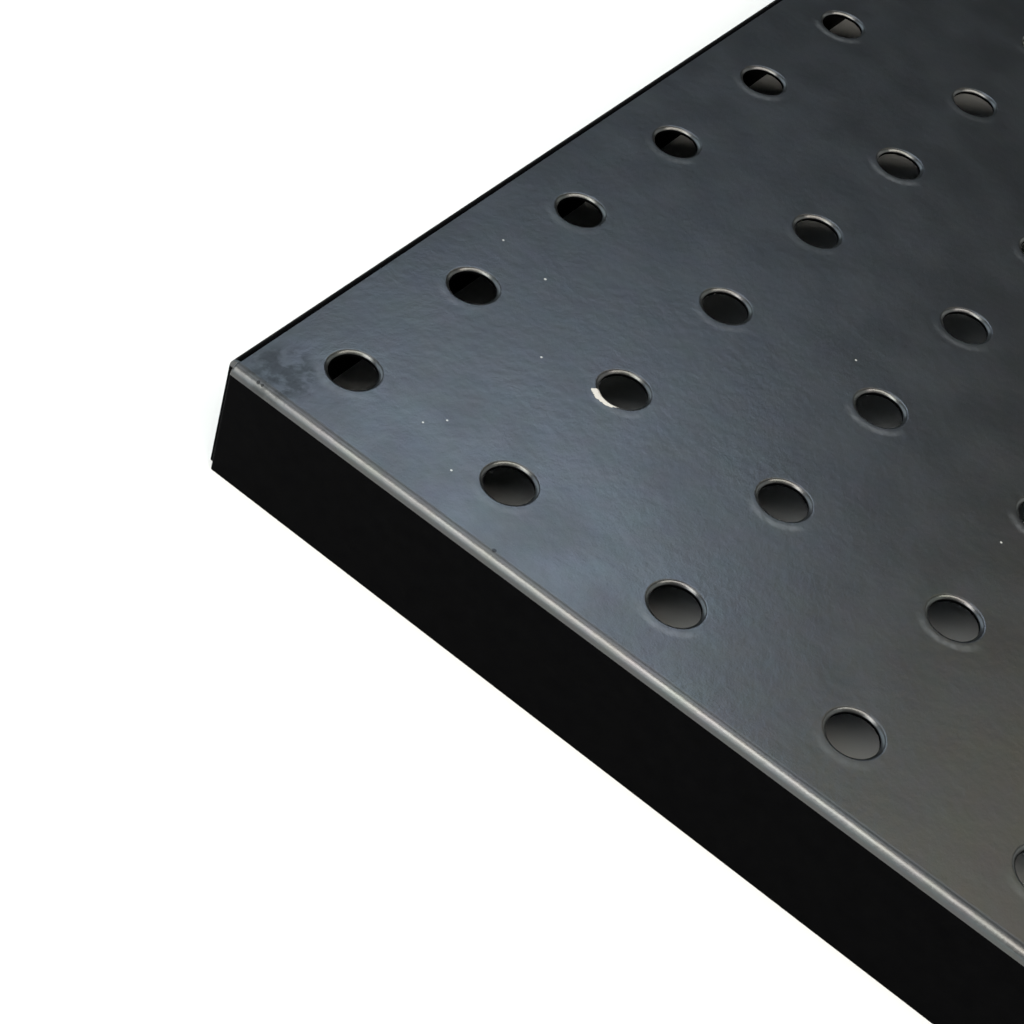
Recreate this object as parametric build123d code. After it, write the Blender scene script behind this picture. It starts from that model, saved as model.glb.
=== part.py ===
"""Perforated steel panel: one sheet with a square grid of punched peg holes, its four
edges folded down into shallow flanges, so that it stands off a wall like a pan.

The panel lies face up on the cut edges of its flanges. +Z points out of the face, and the
origin is at the middle of the underside, level with those edges. Millimetres.
"""

import os

from build123d import *

# Driving dimensions
hole_pitch = 25.4  # centre to centre of the holes, both ways
hole_diameter = 6.6  # clears a 1/4 in peg
holes_along_x = 6
holes_along_y = 12
edge_margin = 11.7  # outermost hole centres to the outside of the flanges
sheet_thickness = 0.9  # 20 gauge steel
flange_depth = 19.05  # top of the face to the cut edge of the flanges
bend_inner_radius = 0.6
corner_notch = 1.2  # side of the square cut from each corner, so that the flanges fold freely

# Sizes that follow
bend_outer_radius = bend_inner_radius + sheet_thickness
length_x = (holes_along_x - 1) * hole_pitch + 2 * edge_margin
length_y = (holes_along_y - 1) * hole_pitch + 2 * edge_margin
cut_past = 1.0  # how far a cutting solid runs past the face that it cuts


def folded_block(inset, height, radius):
    """A block inset from the panel's outline, with its four top edges rounded like the bends."""
    size_x = length_x - 2 * inset
    size_y = length_y - 2 * inset
    block = Box(size_x, size_y, height, align=(Align.CENTER, Align.CENTER, Align.MAX))
    top_edges = block.faces().sort_by(Axis.Z)[-1].edges()
    return Pos(0, 0, flange_depth - inset) * fillet(top_edges, radius)


def folded_sheet():
    """The sheet after folding: a face and four flanges, one thickness all round."""
    outside = folded_block(0, flange_depth, bend_outer_radius)
    inside = folded_block(sheet_thickness, flange_depth + cut_past, bend_inner_radius)
    return outside - inside


def corner_notches():
    """A square post at each corner, where the sheet is cut away so that no flange meets another."""
    side = 2 * corner_notch
    post = Box(side, side, 2 * flange_depth + cut_past)
    return [place * post for place in GridLocations(length_x, length_y, 2, 2)]


def peg_holes():
    """A punch for each hole of the grid."""
    punch = Cylinder(hole_diameter / 2, sheet_thickness + 2 * cut_past)
    mid_sheet = Pos(0, 0, flange_depth - sheet_thickness / 2)
    grid = GridLocations(hole_pitch, hole_pitch, holes_along_x, holes_along_y)
    return [mid_sheet * place * punch for place in grid]


def perforated_panel():
    """The whole panel, one solid."""
    return folded_sheet() - corner_notches() - peg_holes()


os.makedirs("parts", exist_ok=True)
export_step(perforated_panel(), "parts/perforated_panel.step")
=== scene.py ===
"""Perforated steel panel in satin black powder coat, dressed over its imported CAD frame.

+Z points out of the face, and the origin is under the middle of the panel, as in the CAD. The
mesh is built in millimetres and scaled to metres. The camera, floor and lamps are in metres.
"""
import math

import bmesh
import bpy
import numpy as np
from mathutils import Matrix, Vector


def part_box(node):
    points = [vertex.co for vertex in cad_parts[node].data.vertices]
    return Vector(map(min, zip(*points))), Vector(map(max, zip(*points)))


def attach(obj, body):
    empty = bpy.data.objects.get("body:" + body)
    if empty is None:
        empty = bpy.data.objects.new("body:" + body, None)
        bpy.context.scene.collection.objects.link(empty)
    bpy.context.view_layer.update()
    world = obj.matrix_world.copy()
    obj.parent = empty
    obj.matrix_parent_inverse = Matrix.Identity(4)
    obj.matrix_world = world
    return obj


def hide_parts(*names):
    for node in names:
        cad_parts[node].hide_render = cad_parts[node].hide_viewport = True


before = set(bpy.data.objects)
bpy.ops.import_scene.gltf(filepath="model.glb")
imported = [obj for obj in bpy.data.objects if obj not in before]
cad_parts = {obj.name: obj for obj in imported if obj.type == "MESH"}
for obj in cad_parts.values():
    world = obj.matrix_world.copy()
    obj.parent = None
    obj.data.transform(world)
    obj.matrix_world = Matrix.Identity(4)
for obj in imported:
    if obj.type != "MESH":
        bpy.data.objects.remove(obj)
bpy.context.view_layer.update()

MM = 0.001
NODE = "perforated_panel"

# The sheet, millimetres
HOLE_PITCH = 25.4
HOLES_X, HOLES_Y = 6, 12
HOLE_RADIUS = 3.3
SHEET = 0.9
BEND_OUTER, BEND_INNER = 1.5, 0.6
NOTCH = 1.2
LOWER_CHAMFER = (0.10, 0.08)  # of each hole's lower edge: outward, up
EDGE_ROUND = 0.16  # powder-coated cut edges of the flanges
CUT_EDGE_ANGLE = 60  # degrees between two faces, above which their edge is a cut one

# Round each hole the punch rolls the face in, ever steeper, until it meets the hole's wall
RIM_WIDTH = 0.66
RIM_SLOPE = 51  # degrees, where the roll meets the wall

SEGMENTS = 48  # round a hole, twelve to each side of its cell
RIM_STEPS = 9
BEND_STEPS = 9
FLANGE_STEPS = 4
EDGE_ROUND_STEPS = 3
FACE_RING = 1.8 * RIM_WIDTH  # the last ring on the face, outside the hole's wall
BACK_RING = 1.2  # the one ring on the underside, outside the hole's wall
WELD_DISTANCE = 0.001


# ---------------------------------------------------------------- mesh

class Surface:
    """Points and quads gathered as arrays, millimetres, welded at the end."""

    def __init__(self):
        self.points, self.quads, self.count = [], [], 0

    def row(self, points):
        start = self.count
        self.points.append(np.asarray(points, float))
        self.count += len(points)
        return np.arange(start, self.count)

    def bridge(self, a, b, closed=False):
        if closed:
            a, b = np.append(a, a[0]), np.append(b, b[0])
        self.quads.append(np.stack([a[:-1], a[1:], b[1:], b[:-1]], axis=1))

    def bmesh(self):
        bm = bmesh.new()
        verts = [bm.verts.new(p) for p in np.concatenate(self.points)]
        for quad in np.concatenate(self.quads):
            bm.faces.new([verts[i] for i in quad])
        bmesh.ops.remove_doubles(bm, verts=bm.verts, dist=WELD_DISTANCE)
        bmesh.ops.recalc_face_normals(bm, faces=bm.faces)
        return bm


def side_steps(start, end):
    """Stations along one side of a cell, where the rays from its hole's middle meet it."""
    turns = np.radians(np.linspace(-45, 45, SEGMENTS // 4 + 1))
    return start + (end - start) * (1 + np.tan(turns)) / 2


def cell_outline(x0, x1, y0, y1):
    """The cell's edge, counterclockwise from its lower left corner."""
    xs, ys = side_steps(x0, x1), side_steps(y0, y1)
    sides = [(x, y0) for x in xs[:-1]] + [(x1, y) for y in ys[:-1]]
    sides += [(x, y1) for x in xs[:0:-1]] + [(x0, y) for y in ys[:0:-1]]
    return np.array(sides)


def rim_drop(share):
    """How far the face has rolled in at a share of the rim's width. Its slope falls off
    as (1 - share^2)^2, from RIM_SLOPE at the wall to nothing at the flat."""
    rolled = share - share ** 3 * 2 / 3 + share ** 5 / 5
    return math.tan(math.radians(RIM_SLOPE)) * RIM_WIDTH * (8 / 15 - rolled)


def rim_profile(face_z):
    """Radius and height of the rings from a hole's lower edge out to the flat face."""
    back_z = face_z - SHEET
    outward, up = LOWER_CHAMFER
    rings = [(HOLE_RADIUS + outward, back_z), (HOLE_RADIUS, back_z + up)]
    for share in np.linspace(0, 1, RIM_STEPS + 1):
        rings.append((HOLE_RADIUS + RIM_WIDTH * share, face_z - rim_drop(share)))
    rings.append((HOLE_RADIUS + FACE_RING, face_z))
    return rings


def add_cell(surface, centre, outline, face_z):
    """One hole and the sheet round it, as rings from the cell's edge on the underside, up
    through the hole, and out to the cell's edge on the face."""
    turns = np.radians(-135 + np.arange(SEGMENTS) * 360 / SEGMENTS)
    spokes = np.stack([np.cos(turns), np.sin(turns)], axis=1)

    def ring(radius, z):
        xy = centre + radius * spokes
        return surface.row(np.column_stack([xy, np.full(SEGMENTS, z)]))

    def edge(z):
        return surface.row(np.column_stack([outline, np.full(SEGMENTS, z)]))

    back_z = face_z - SHEET
    rows = [edge(back_z), ring(HOLE_RADIUS + BACK_RING, back_z)]
    rows += [ring(radius, z) for radius, z in rim_profile(face_z)]
    rows.append(edge(face_z))
    for a, b in zip(rows, rows[1:]):
        surface.bridge(a, b, closed=True)


def bend_profile(radius, face_z):
    """One side of the folded edge as (outward, height) pairs, from the flat down. Its second
    point is where the corner notch begins."""
    axis_z = face_z - BEND_OUTER
    notch_turn = math.asin((BEND_OUTER - NOTCH) / radius)
    turns = [0] + list(np.linspace(notch_turn, math.pi / 2, BEND_STEPS))
    down = [axis_z * (1 - step / FLANGE_STEPS) for step in range(1, FLANGE_STEPS + 1)]
    bend = [(radius * math.sin(turn), axis_z + radius * math.cos(turn)) for turn in turns]
    return bend + [(radius, z) for z in down]


def add_edge(surface, stations, place, face_z, owns_corners):
    """One bend and flange. Stations run along the edge, and place turns (along, outward, z)
    into a point. The two end stations reach past the flat's corner as far as the notch, and
    the edges that own the corners fill the small piece of sheet between flat and notch."""
    grids = []
    for radius in (BEND_OUTER, BEND_INNER):
        profile = bend_profile(radius, face_z)
        end_z = profile[1][1]
        grid = []
        for outward, z in profile:
            end = [min(z, end_z)]
            heights = end + [z] * (len(stations) - 2) + end
            grid.append(surface.row([place(s, outward, h) for s, h in zip(stations, heights)]))
        for step, (a, b) in enumerate(zip(grid, grid[1:])):
            if step == 0 and not owns_corners:
                a, b = a[1:-1], b[1:-1]
            surface.bridge(a, b)
        grids.append(grid)
    outer, inner = grids
    surface.bridge(outer[-1], inner[-1])
    for end in (0, -1):
        surface.bridge(np.array([row[end] for row in outer[1:]]),
                       np.array([row[end] for row in inner[1:]]))


def cell_lines(holes, flat):
    """The lines between the holes' cells one way, the outermost moved to the flat's ends, and
    the holes' centres."""
    lines = np.linspace(-holes / 2, holes / 2, holes + 1) * HOLE_PITCH
    centres = (lines[:-1] + lines[1:]) / 2
    lines[[0, -1]] = -flat, flat
    return lines, centres


def edge_stations(lines):
    """Points along one edge of the flat, and one past each of its ends, at the notch."""
    inner = np.concatenate([side_steps(a, b)[:-1] for a, b in zip(lines, lines[1:])])
    past = BEND_OUTER - NOTCH
    return np.concatenate([[lines[0] - past], inner, [lines[-1], lines[-1] + past]])


def panel_bmesh(half_x, half_y, face_z):
    surface = Surface()
    flat_x, flat_y = half_x - BEND_OUTER, half_y - BEND_OUTER
    lines_x, centres_x = cell_lines(HOLES_X, flat_x)
    lines_y, centres_y = cell_lines(HOLES_Y, flat_y)
    for i, cx in enumerate(centres_x):
        for j, cy in enumerate(centres_y):
            outline = cell_outline(lines_x[i], lines_x[i + 1], lines_y[j], lines_y[j + 1])
            add_cell(surface, np.array([cx, cy]), outline, face_z)

    along_x, along_y = edge_stations(lines_x), edge_stations(lines_y)
    add_edge(surface, along_x, lambda s, out, z: (s, -flat_y - out, z), face_z, True)
    add_edge(surface, along_x, lambda s, out, z: (s, flat_y + out, z), face_z, True)
    add_edge(surface, along_y, lambda s, out, z: (-flat_x - out, s, z), face_z, False)
    add_edge(surface, along_y, lambda s, out, z: (flat_x + out, s, z), face_z, False)
    return surface.bmesh()


def round_cut_edges(bm):
    limit = math.radians(CUT_EDGE_ANGLE)
    sharp = [e for e in bm.edges if e.is_convex and e.calc_face_angle(0) > limit]
    bmesh.ops.bevel(bm, geom=sharp, offset=EDGE_ROUND, segments=EDGE_ROUND_STEPS, profile=0.5,
                    affect="EDGES", clamp_overlap=False)


def set_area_weighted_normals(mesh):
    """Smooth normals led by the large flat faces, so that bends and rims stay crisp."""
    normals = np.zeros((len(mesh.vertices), 3))
    for face in mesh.polygons:
        normals[list(face.vertices)] += np.array(face.normal) * face.area
    normals /= np.linalg.norm(normals, axis=1, keepdims=True)
    mesh.shade_smooth()
    mesh.normals_split_custom_set_from_vertices(normals)


def assign_coats(mesh, half_x, half_y, face_z):
    """Coat 0 on the face, its rolled rims and the bends of the two short sides, coat 1 on the
    flanges, the hole walls, the underside and the bends of the two long sides. Coat 1 is the
    same coat made darker and almost unreflecting: painted shade."""
    flat_x, flat_y, bend_foot = half_x - BEND_OUTER, half_y - BEND_OUTER, face_z - BEND_OUTER
    for face in mesh.polygons:
        x, y, z = face.center / MM
        on_short_bend = abs(y) > flat_y and z > bend_foot
        on_face_or_rim = abs(x) < flat_x and face.normal.z > 0.5
        # coat 1, the painted-shade copy, goes on all but the face, its rims and the short
        # bends
        face.material_index = int(not on_short_bend and not on_face_or_rim)


def make_panel(face_coat, flange_coat):
    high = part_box(NODE)[1]
    half_x, half_y, face_z = high.x / MM, high.y / MM, high.z / MM
    bm = panel_bmesh(half_x, half_y, face_z)
    round_cut_edges(bm)
    bmesh.ops.scale(bm, vec=(MM, MM, MM), verts=bm.verts)
    mesh = bpy.data.meshes.new("panel_skin")
    bm.to_mesh(mesh)
    bm.free()
    set_area_weighted_normals(mesh)
    mesh.materials.append(face_coat)
    mesh.materials.append(flange_coat)
    assign_coats(mesh, half_x, half_y, face_z)
    panel = bpy.data.objects.new("panel_skin", mesh)
    bpy.context.scene.collection.objects.link(panel)
    return panel


# ---------------------------------------------------------------- material

# Marks on the face, millimetres from its middle. The round ones are x, y and radius.
DUST = [
    (-57.9, -105.2, 0.16),
    (-49.0, -118.2, 0.13),
    (-66.6, -103.4, 0.12),
    (-38.6, -138.8, 0.12),
    (-51.8, -140.0, 0.11),
    (-50.0, -137.3, 0.11),
    (-44.3, -143.7, 0.12),
    (-19.9, -83.3, 0.13),
    (10.8, -97.9, 0.13),
]
DARK_NICKS = [(-32.7, -150.0, 0.24), (-70.0, -150.7, 0.2), (-69.3, -150.7, 0.16)]
SMUDGE = (-69.0, -147.2, 3.2)
CHIPPED_HOLE = (-38.1, -114.3)
CHIP_OFFSET, CHIP_RADIUS = (-0.68, -1.34), 3.05  # a disc bitten off the rim towards the front
CHIP_BLUNT_END = -133  # degrees round the hole
HALO_RADIUS, HALO_SPREAD = 4.75, 0.75  # where a painted highlight rings each hole, from a hole's middle
HALO_TOWARDS = (0.17, -0.98, 0)  # the side of each hole that gets the painted highlight

CHIP_COLOUR = (0.44, 0.416, 0.38, 1)
DUST_COLOUR = (0.34, 0.34, 0.32, 1)
# painted highlight colour, for one side of every hole
PAINTED_HALO_COLOUR = (0.064, 0.068, 0.072, 1)
SATIN_COLOURS = (0.0044, 0.0048, 0.0056, 1), (0.0090, 0.0096, 0.0104, 1)  # darkest, palest
# painted shade: the shaded copy's colours, darker than the same coat on the face
SHADED_COPY_COLOURS = (0.0004, 0.0004, 0.0006, 1), (0.0016, 0.0016, 0.0018, 1)
WORN_TINT = (0.3, 0.3, 0.3, 1)  # how much of the sheen is left in the smudge and the nicks
# the shaded copy's specular, next to none, is painted shade as well
SATIN_SPECULAR, SHADED_COPY_SPECULAR = 1.0, 0.008  # 0.5 mirrors 4 % straight on
SATIN_ROUGHNESS, SHADED_COPY_ROUGHNESS = (0.275, 0.325), (0.34, 0.46)  # smoothest, roughest
CHIP_ROUGHNESS = 0.7
SATIN_PEEL, SHADED_COPY_PEEL = 0.021, 0.016  # depth of the orange peel, millimetres


class Shading:
    """Short ways to add and link the nodes of one material."""

    def __init__(self, name):
        self.material = bpy.data.materials.new(name)
        self.material.use_nodes = True
        self.tree = self.material.node_tree
        self.shader = self.tree.nodes["Principled BSDF"]
        place = self.node("ShaderNodeTexCoord").outputs["Object"]
        self.mm = self.vector("SCALE", place, scale=1 / MM)

    def node(self, kind, **settings):
        node = self.tree.nodes.new(kind)
        for key, value in settings.items():
            setattr(node, key, value)
        return node

    def put(self, value, socket):
        if isinstance(value, bpy.types.NodeSocket):
            self.tree.links.new(value, socket)
        else:
            socket.default_value = value

    def math(self, operation, a, b=0.0):
        node = self.node("ShaderNodeMath", operation=operation)
        self.put(a, node.inputs[0])
        self.put(b, node.inputs[1])
        return node.outputs[0]

    def vector(self, operation, a, b=(0, 0, 0), scale=1.0):
        node = self.node("ShaderNodeVectorMath", operation=operation)
        self.put(a, node.inputs[0])
        self.put(b, node.inputs[1])
        if operation == "SCALE":
            node.inputs["Scale"].default_value = scale
        gives_number = operation in ("LENGTH", "DISTANCE", "DOT_PRODUCT")
        return node.outputs["Value" if gives_number else "Vector"]

    def noise(self, size, detail=2.0, offset=(0, 0, 0), output="Fac"):
        """Noise whose features are about this many millimetres across."""
        node = self.node("ShaderNodeTexNoise")
        node.inputs["Scale"].default_value = 1 / size
        node.inputs["Detail"].default_value = detail
        self.put(self.vector("ADD", self.mm, offset), node.inputs["Vector"])
        return node.outputs[output]

    def ramp(self, value, low, high, start=0.0, end=1.0):
        """Value turned smoothly from start to end as it goes from low to high."""
        node = self.node("ShaderNodeMapRange", interpolation_type="SMOOTHSTEP")
        for socket, part in zip(list(node.inputs)[:5], (value, low, high, start, end)):
            self.put(part, socket)
        return node.outputs["Result"]

    def mix(self, share, a, b):
        node = self.node("ShaderNodeMix", data_type="RGBA")
        sockets = [s for s in node.inputs if s.type == "RGBA"]
        self.put(share, node.inputs["Factor"])
        self.put(a, sockets[0])
        self.put(b, sockets[1])
        return [s for s in node.outputs if s.type == "RGBA"][0]

    def bumps(self, layers):
        """Stacked relief from (height 0 to 1, depth in millimetres) pairs."""
        normal = None
        for height, depth in layers:
            node = self.node("ShaderNodeBump")
            node.inputs["Distance"].default_value = depth * MM
            self.put(height, node.inputs["Height"])
            if normal:
                self.put(normal, node.inputs["Normal"])
            normal = node.outputs["Normal"]
        return normal

    def spots(self, marks, softness):
        """1 inside any of the round marks (x, y, radius), 0 outside."""
        flat = self.vector("MULTIPLY", self.mm, (1, 1, 0))
        share = 0.0
        for x, y, radius in marks:
            away = self.vector("DISTANCE", flat, (x, y, 0))
            share = self.math("MAXIMUM", share, self.ramp(away, radius + softness, radius))
        return share


def chip_mask(shading):
    """1 where the coat has chipped off beside one hole, with a ragged edge and a blunt end."""
    flat = shading.vector("MULTIPLY", shading.mm, (1, 1, 0))
    middle = (CHIPPED_HOLE[0] + CHIP_OFFSET[0], CHIPPED_HOLE[1] + CHIP_OFFSET[1], 0)
    ragged = shading.ramp(shading.noise(0.45, 3.0), 0.3, 0.7, -0.13, 0.13)
    away = shading.math("ADD", shading.vector("DISTANCE", flat, middle), ragged)
    bitten = shading.ramp(away, CHIP_RADIUS + 0.05, CHIP_RADIUS - 0.05)
    from_hole = shading.vector("SUBTRACT", flat, (*CHIPPED_HOLE, 0))
    turn = math.radians(CHIP_BLUNT_END)
    past_end = shading.vector("DOT_PRODUCT", from_hole, (-math.sin(turn), math.cos(turn), 0))
    below = shading.vector("DOT_PRODUCT", from_hole, (0, -1, 0))
    kept = shading.math("MULTIPLY", shading.ramp(past_end, -0.05, 0.12),
                        shading.ramp(below, 1.0, 1.4))
    return shading.math("MULTIPLY", bitten, kept)


def painted_halo_mask(shading):
    """A painted highlight on one side of every hole, each of its own strength."""
    cells = shading.vector("SCALE", shading.mm, scale=1 / HOLE_PITCH)
    local = shading.vector("SUBTRACT", shading.vector("FRACTION", cells), (0.5, 0.5, 0.5))
    local = shading.vector("MULTIPLY", local, (HOLE_PITCH, HOLE_PITCH, 0))
    away = shading.vector("LENGTH", local)
    band = shading.ramp(shading.math("ABSOLUTE", shading.math("SUBTRACT", away, HALO_RADIUS)),
                        HALO_SPREAD, 0.1)
    side = shading.math("DIVIDE", shading.vector("DOT_PRODUCT", local, HALO_TOWARDS), away)
    strength = shading.ramp(shading.noise(30, 0.0, (11, 5, 0)), 0.3, 0.7, 0.25, 1.0)
    patchy = shading.ramp(shading.noise(0.9, 3.0), 0.35, 0.65, 0.5, 1.0)
    share = shading.math("MULTIPLY", band, shading.ramp(side, 0.35, 0.95))
    return shading.math("MULTIPLY", shading.math("MULTIPLY", share, strength), patchy)


def orange_peel(shading, depth):
    """The coat's broad waves and, less than half as deep, its fine grain."""
    waves, grain = shading.noise(1.3, 1.0), shading.noise(0.3, 2.0, (7, 3, 1))
    return shading.bumps([(waves, depth), (grain, depth * 0.45)])


def satin_colour(shading, chip):
    """Near black, paler where it is dusty or chipped, with a painted highlight on one side of
    every hole.
    """
    colour = shading.mix(shading.noise(5, 2.0), *SATIN_COLOURS)
    # painted highlight on one side of every hole
    halo_share = shading.math("MULTIPLY", painted_halo_mask(shading), 0.75)
    colour = shading.mix(halo_share, colour, PAINTED_HALO_COLOUR)
    colour = shading.mix(shading.spots(DUST, 0.06), colour, DUST_COLOUR)
    return shading.mix(chip, colour, CHIP_COLOUR)


def satin_sheen(shading):
    """The tint of the sheen: faintly mottled, and dulled in the smudge and the nicks."""
    mottled = shading.mix(0.16, (1, 1, 1, 1), shading.noise(3.6, 3.0, output="Color"))
    patchy = shading.ramp(shading.noise(1.8, 4.0, (2, 0, 0)), 0.36, 0.56)
    smudge = shading.math("MULTIPLY", shading.spots([SMUDGE], 2.4), patchy)
    smudge = shading.math("MULTIPLY", smudge, 0.8)
    worn = shading.math("MAXIMUM", smudge, shading.spots(DARK_NICKS, 0.08))
    return shading.mix(worn, mottled, WORN_TINT)


def satin_powder_coat():
    """The face and the bends of the short sides, with the marks of use: the lit copy of the
    coat.
    """
    shading = Shading("satin_black_powder_coat")
    inputs = shading.shader.inputs
    chip = chip_mask(shading)
    satin = shading.ramp(shading.noise(8, 3.0, (3, 9, 2)), 0.3, 0.7, *SATIN_ROUGHNESS)
    shading.put(satin_colour(shading, chip), inputs["Base Color"])
    shading.put(satin_sheen(shading), inputs["Specular Tint"])
    shading.put(SATIN_SPECULAR, inputs["Specular IOR Level"])
    shading.put(shading.ramp(chip, 0, 1, satin, CHIP_ROUGHNESS), inputs["Roughness"])
    shading.put(orange_peel(shading, SATIN_PEEL), inputs["Normal"])
    return shading.material


def shaded_copy_powder_coat():
    """The rest of the sheet, in the same coat made darker and almost unreflecting: painted
    shade for the dark surroundings these surfaces mirror.
    """
    shading = Shading("shaded_copy_black_powder_coat")
    inputs = shading.shader.inputs
    dull = shading.ramp(shading.noise(4, 3.0), 0.3, 0.7, *SHADED_COPY_ROUGHNESS)
    shading.put(shading.mix(shading.noise(2.2, 4.0), *SHADED_COPY_COLOURS), inputs["Base Color"])
    shading.put(SHADED_COPY_SPECULAR, inputs["Specular IOR Level"])
    shading.put(dull, inputs["Roughness"])
    shading.put(orange_peel(shading, SHADED_COPY_PEEL), inputs["Normal"])
    return shading.material


def plain_material(name, colour, roughness):
    material = bpy.data.materials.new(name)
    material.use_nodes = True
    shader = material.node_tree.nodes["Principled BSDF"]
    shader.inputs["Base Color"].default_value = (*colour, 1)
    shader.inputs["Roughness"].default_value = roughness
    return material


# ---------------------------------------------------------------- stage

CAMERA_PLACE = (0.03753, -0.31448, 0.20706)
CAMERA_TURN = (45.495, -11.372, 39.107)  # degrees, XYZ
CAMERA_LENS = 76.535  # millimetres
CAMERA_SHIFT = (0.109375, -0.109375)
FLOOR_REACH = 6.0
FLOOR_COLOUR = (0.72, 0.72, 0.72)
WORLD_COLOUR = (0.04, 0.045, 0.045, 1)


def make_camera():
    data = bpy.data.cameras.new("camera")
    data.lens = CAMERA_LENS
    data.shift_x, data.shift_y = CAMERA_SHIFT
    data.clip_start = 0.01
    camera = bpy.data.objects.new("camera", data)
    camera.location = CAMERA_PLACE
    camera.rotation_euler = [math.radians(turn) for turn in CAMERA_TURN]
    bpy.context.scene.collection.objects.link(camera)
    bpy.context.scene.camera = camera


def make_floor():
    mesh = bpy.data.meshes.new("floor")
    corners = [(-1, -1), (1, -1), (1, 1), (-1, 1)]
    mesh.from_pydata([(x * FLOOR_REACH, y * FLOOR_REACH, 0) for x, y in corners],
                     [], [(0, 1, 2, 3)])
    mesh.materials.append(plain_material("pale_floor", FLOOR_COLOUR, roughness=0.9))
    floor = bpy.data.objects.new("floor", mesh)
    bpy.context.scene.collection.objects.link(floor)


def direction(azimuth, elevation):
    """Azimuth in degrees from +Y towards -X, elevation above the floor."""
    a, e = math.radians(azimuth), math.radians(elevation)
    return Vector((-math.sin(a) * math.cos(e), math.cos(a) * math.cos(e), math.sin(e)))


# Soft lights a metre from the near corner of the panel. Each has its name, the azimuth and
# elevation of its middle and how wide and high it looks from there (degrees), and its red,
# green and blue radiance.
LIGHT_AIM = (-0.03, -0.12, 0.019)
LIGHT_DISTANCE = 1.0
LAMPS = [
    ("window", 163, 33, 37, 42, (4.9, 5.05, 4.95)),
    ("high_window", 220, 60, 130, 19, (8.5, 8.1, 7.2)),
    ("overhead_softbox", 120, 74, 70, 26, (3.0, 3.2, 3.4)),
    ("back_left_softbox", 27, 50.5, 28, 16, (2.85, 3.55, 4.4)),
    ("back_softbox", 20, 66, 90, 14, (1.6, 1.7, 1.75)),
    ("left_fill", 94, 27, 62, 30, (1.5, 1.8, 2.0)),
    ("back_right_fill", 352, 51, 22, 15, (1.5, 1.3, 0.85)),
    ("right_fill", 306, 19, 78, 30, (0.8, 0.85, 0.8)),
    ("low_fill", 170, 6, 60, 12, (1.5, 1.9, 1.95)),
]


def spread(angle):
    """How far across a light is that fills this angle, in degrees, as seen from the panel."""
    return 2 * LIGHT_DISTANCE * math.tan(math.radians(angle / 2))


def make_lamp(name, azimuth, elevation, width, height, radiance):
    data = bpy.data.lights.new(name, "AREA")
    data.shape = "RECTANGLE"
    data.size = spread(width) * math.cos(math.radians(elevation))  # azimuths narrow overhead
    data.size_y = spread(height)
    strength = max(radiance)
    data.color = [part / strength for part in radiance]
    data.energy = math.pi * data.size * data.size_y * strength
    lamp = bpy.data.objects.new(name, data)
    aim = Vector(LIGHT_AIM)
    lamp.location = aim + LIGHT_DISTANCE * direction(azimuth, elevation)
    lamp.rotation_euler = (lamp.location - aim).to_track_quat("Z", "Y").to_euler()
    bpy.context.scene.collection.objects.link(lamp)


def make_world():
    world = bpy.data.worlds.new("world")
    world.use_nodes = True
    world.node_tree.nodes["Background"].inputs["Color"].default_value = WORLD_COLOUR
    bpy.context.scene.world = world


# ---------------------------------------------------------------- build

panel = make_panel(satin_powder_coat(), shaded_copy_powder_coat())
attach(panel, "root")
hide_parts(NODE)
make_camera()
make_floor()
for lamp_values in LAMPS:
    make_lamp(*lamp_values)
make_world()
bpy.context.scene.view_settings.view_transform = "Standard"
